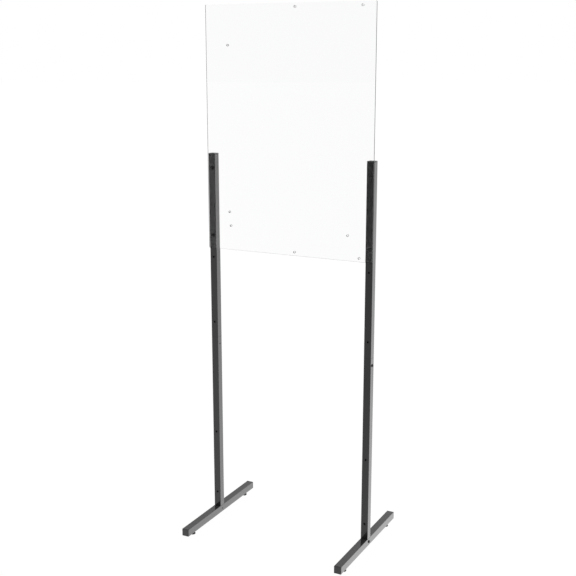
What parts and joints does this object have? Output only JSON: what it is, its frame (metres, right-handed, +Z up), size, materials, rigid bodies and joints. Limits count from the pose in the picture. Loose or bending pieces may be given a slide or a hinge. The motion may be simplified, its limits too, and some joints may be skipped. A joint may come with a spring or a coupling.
{
  "type": "floor-standing sneeze guard",
  "caption": "Free-standing guard: an upright clear acrylic panel screwed to two slim black steel posts, each on a T-shaped foot with levelling glides.",
  "frame": {"origin": "on the floor, midway between the two uprights, under the middle of the feet", "axes": "+Z up along the uprights; +X along the panel, from the left upright to the right; -Y is the side that the panel hangs on"},
  "size_m": [0.6154, 0.4652, 1.8149],
  "materials": {
    "powder_coat": "semi-gloss black powder coat",
    "clear_acrylic": "polished clear sheet",
    "moulded_plastic": "satin black moulding",
    "nylon": "matt black nylon",
    "black_oxide_steel": "black oxide",
    "zinc_steel": "bright zinc plate"
  },
  "bodies": {
    "root": {"left_lower_upright": "powder_coat", "left_upper_upright": "powder_coat", "left_foot_tube": "powder_coat", "left_joining_sleeve": "black_oxide_steel", "left_foot_spigot": "black_oxide_steel", "left_sleeve_screw": "black_oxide_steel", "left_spigot_screw": "black_oxide_steel", "left_top_cap": "moulded_plastic", "left_rivet_nut_1": "powder_coat", "left_rivet_nut_2": "powder_coat", "left_rivet_nut_3": "powder_coat", "left_rivet_nut_4": "powder_coat", "left_rivet_nut_5": "powder_coat", "left_rivet_nut_6": "powder_coat", "left_lower_back_washer": "nylon", "left_lower_front_washer": "nylon", "left_lower_panel_screw": "black_oxide_steel", "left_upper_back_washer": "nylon", "left_upper_front_washer": "nylon", "left_upper_panel_screw": "black_oxide_steel", "left_front_foot_cap": "moulded_plastic", "left_front_glide_insert": "zinc_steel", "left_rear_foot_cap": "moulded_plastic", "left_rear_glide_insert": "zinc_steel", "right_lower_upright": "powder_coat", "right_upper_upright": "powder_coat", "right_foot_tube": "powder_coat", "right_joining_sleeve": "black_oxide_steel", "right_foot_spigot": "black_oxide_steel", "right_sleeve_screw": "black_oxide_steel", "right_spigot_screw": "black_oxide_steel", "right_top_cap": "moulded_plastic", "right_rivet_nut_1": "powder_coat", "right_rivet_nut_2": "powder_coat", "right_rivet_nut_3": "powder_coat", "right_rivet_nut_4": "powder_coat", "right_rivet_nut_5": "powder_coat", "right_rivet_nut_6": "powder_coat", "right_lower_back_washer": "nylon", "right_lower_front_washer": "nylon", "right_lower_panel_screw": "black_oxide_steel", "right_upper_back_washer": "nylon", "right_upper_front_washer": "nylon", "right_upper_panel_screw": "black_oxide_steel", "right_front_foot_cap": "moulded_plastic", "right_front_glide_insert": "zinc_steel", "right_rear_foot_cap": "moulded_plastic", "right_rear_glide_insert": "zinc_steel", "acrylic_panel": "clear_acrylic"},
    "left_front_pad": {"left_front_glide_pad": "nylon"},
    "left_front_stem": {"left_front_glide_stem": "zinc_steel"},
    "left_rear_pad": {"left_rear_glide_pad": "nylon"},
    "left_rear_stem": {"left_rear_glide_stem": "zinc_steel"},
    "right_front_pad": {"right_front_glide_pad": "nylon"},
    "right_front_stem": {"right_front_glide_stem": "zinc_steel"},
    "right_rear_pad": {"right_rear_glide_pad": "nylon"},
    "right_rear_stem": {"right_rear_glide_stem": "zinc_steel"}
  },
  "joints": [
    {"name": "left_front_level", "type": "slide", "parent": "root", "child": "left_front_pad", "axis": [0, 0, -1], "range_m": [-0.002, 0.01]},
    {"name": "left_front_stem_turn", "type": "hinge", "parent": "left_front_pad", "child": "left_front_stem", "pos_m": [-0.2921, -0.1841, 0], "axis": [0, 0, -1], "range_deg": [-579, 2885]},
    {"name": "left_rear_level", "type": "slide", "parent": "root", "child": "left_rear_pad", "axis": [0, 0, -1], "range_m": [-0.002, 0.01]},
    {"name": "left_rear_stem_turn", "type": "hinge", "parent": "left_rear_pad", "child": "left_rear_stem", "pos_m": [-0.2921, 0.1841, 0], "axis": [0, 0, -1], "range_deg": [-579, 2885]},
    {"name": "right_front_level", "type": "slide", "parent": "root", "child": "right_front_pad", "axis": [0, 0, -1], "range_m": [-0.002, 0.01]},
    {"name": "right_front_stem_turn", "type": "hinge", "parent": "right_front_pad", "child": "right_front_stem", "pos_m": [0.2921, -0.1841, 0], "axis": [0, 0, -1], "range_deg": [-579, 2885]},
    {"name": "right_rear_level", "type": "slide", "parent": "root", "child": "right_rear_pad", "axis": [0, 0, -1], "range_m": [-0.002, 0.01]},
    {"name": "right_rear_stem_turn", "type": "hinge", "parent": "right_rear_pad", "child": "right_rear_stem", "pos_m": [0.2921, 0.1841, 0], "axis": [0, 0, -1], "range_deg": [-579, 2885]}
  ],
  "couplings": [
    {"joint": "left_front_stem_turn", "follows": "left_front_level", "rad_per_m": 5026.5},
    {"joint": "left_rear_stem_turn", "follows": "left_rear_level", "rad_per_m": 5026.5},
    {"joint": "right_front_stem_turn", "follows": "right_front_level", "rad_per_m": 5026.5},
    {"joint": "right_rear_stem_turn", "follows": "right_rear_level", "rad_per_m": 5026.5}
  ]
}
